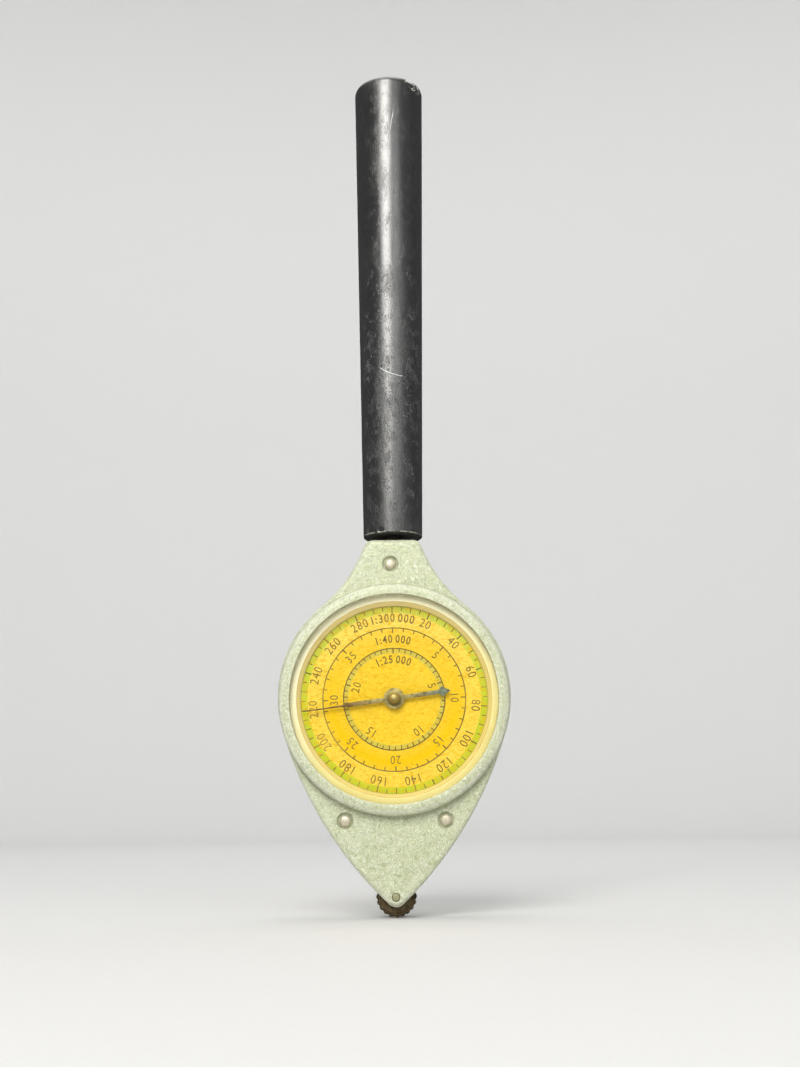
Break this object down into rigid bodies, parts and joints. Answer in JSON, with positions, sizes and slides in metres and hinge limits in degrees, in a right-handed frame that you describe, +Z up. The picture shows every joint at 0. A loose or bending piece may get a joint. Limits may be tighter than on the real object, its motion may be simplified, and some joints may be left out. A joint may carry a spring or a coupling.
{
  "type": "map measurer",
  "caption": "Hand-held map measurer: a toothed roller at the tip of a pear-shaped case turns geared pointers over ring scales, front and rear, below a long tapered handle.",
  "frame": {"origin": "the point where the roller touches the map, under the middle of the case", "axes": "+Z up the handle, the front dial faces -Y, +X to the right of the front dial; every arbor and the roller's axle lie along Y"},
  "size_m": [0.0368, 0.013, 0.1415],
  "materials": {
    "hammertone_paint": "pale grey-green hammertone paint, semi-gloss",
    "clear_plastic": "clear, slightly yellowed with age",
    "cream_plastic": "cream, satin",
    "printed_dial": "printed yellow and orange rings, matt, aged",
    "nickel": "dull nickel plate",
    "brass": "plain brass, dulled",
    "steel": "plain steel",
    "brown_brass": "brown, tarnished brass",
    "blued_steel": "dark blued steel",
    "black_lacquer": "glossy black with fine scuffs"
  },
  "bodies": {
    "case": {"front_case": "hammertone_paint", "rear_case": "hammertone_paint", "front_crystal": "clear_plastic", "rear_crystal": "clear_plastic", "front_dial_ring": "cream_plastic", "rear_dial_ring": "cream_plastic", "front_dial": "printed_dial", "rear_dial": "printed_dial", "case_rivet_top": "nickel", "case_rivet_left": "nickel", "case_rivet_right": "nickel", "front_movement_plate": "brass", "rear_movement_plate": "brass", "movement_pillar_1": "brass", "movement_pillar_2": "brass", "movement_pillar_3": "brass", "rivet_spacer_left": "brass", "rivet_spacer_right": "brass", "front_axle_washer": "brass", "rear_axle_washer": "brass", "roller_axle": "brass", "front_pillar_screw_1": "steel", "front_pillar_screw_2": "steel", "front_pillar_screw_3": "steel", "rear_pillar_screw_1": "steel", "rear_pillar_screw_2": "steel", "rear_pillar_screw_3": "steel", "handle_tang": "steel", "handle_sleeve": "black_lacquer"},
    "roller": {"measuring_roller": "brown_brass", "roller_pinion": "steel"},
    "first_wheel_arbor": {"first_arbor": "steel", "first_wheel": "brass", "first_pinion": "steel"},
    "second_wheel_arbor": {"second_arbor": "steel", "second_wheel": "brass", "second_pinion": "steel"},
    "pointers": {"centre_arbor": "steel", "centre_wheel": "brass", "centre_wheel_collet": "brass", "front_pointer": "blued_steel", "front_pointer_bush": "brass", "rear_pointer": "blued_steel", "rear_pointer_bush": "brass"}
  },
  "joints": [
    {"name": "pointers_turn", "type": "hinge", "parent": "case", "child": "pointers", "pos_m": [0, 0, 0.03353], "axis": [0, 1, 0], "continuous": true},
    {"name": "second_wheel_turn", "type": "hinge", "parent": "case", "child": "second_wheel_arbor", "pos_m": [0, 0, 0.01568], "axis": [0, 1, 0], "continuous": true},
    {"name": "first_wheel_turn", "type": "hinge", "parent": "case", "child": "first_wheel_arbor", "pos_m": [0, 0, 0.00818], "axis": [0, 1, 0], "continuous": true},
    {"name": "roller_turn", "type": "hinge", "parent": "case", "child": "roller", "pos_m": [0, 0, 0.00318], "axis": [0, 1, 0], "continuous": true}
  ],
  "couplings": [
    {"joint": "second_wheel_turn", "follows": "pointers_turn", "ratio": -3.3333},
    {"joint": "first_wheel_turn", "follows": "pointers_turn", "ratio": 16.667},
    {"joint": "roller_turn", "follows": "pointers_turn", "ratio": -50}
  ]
}
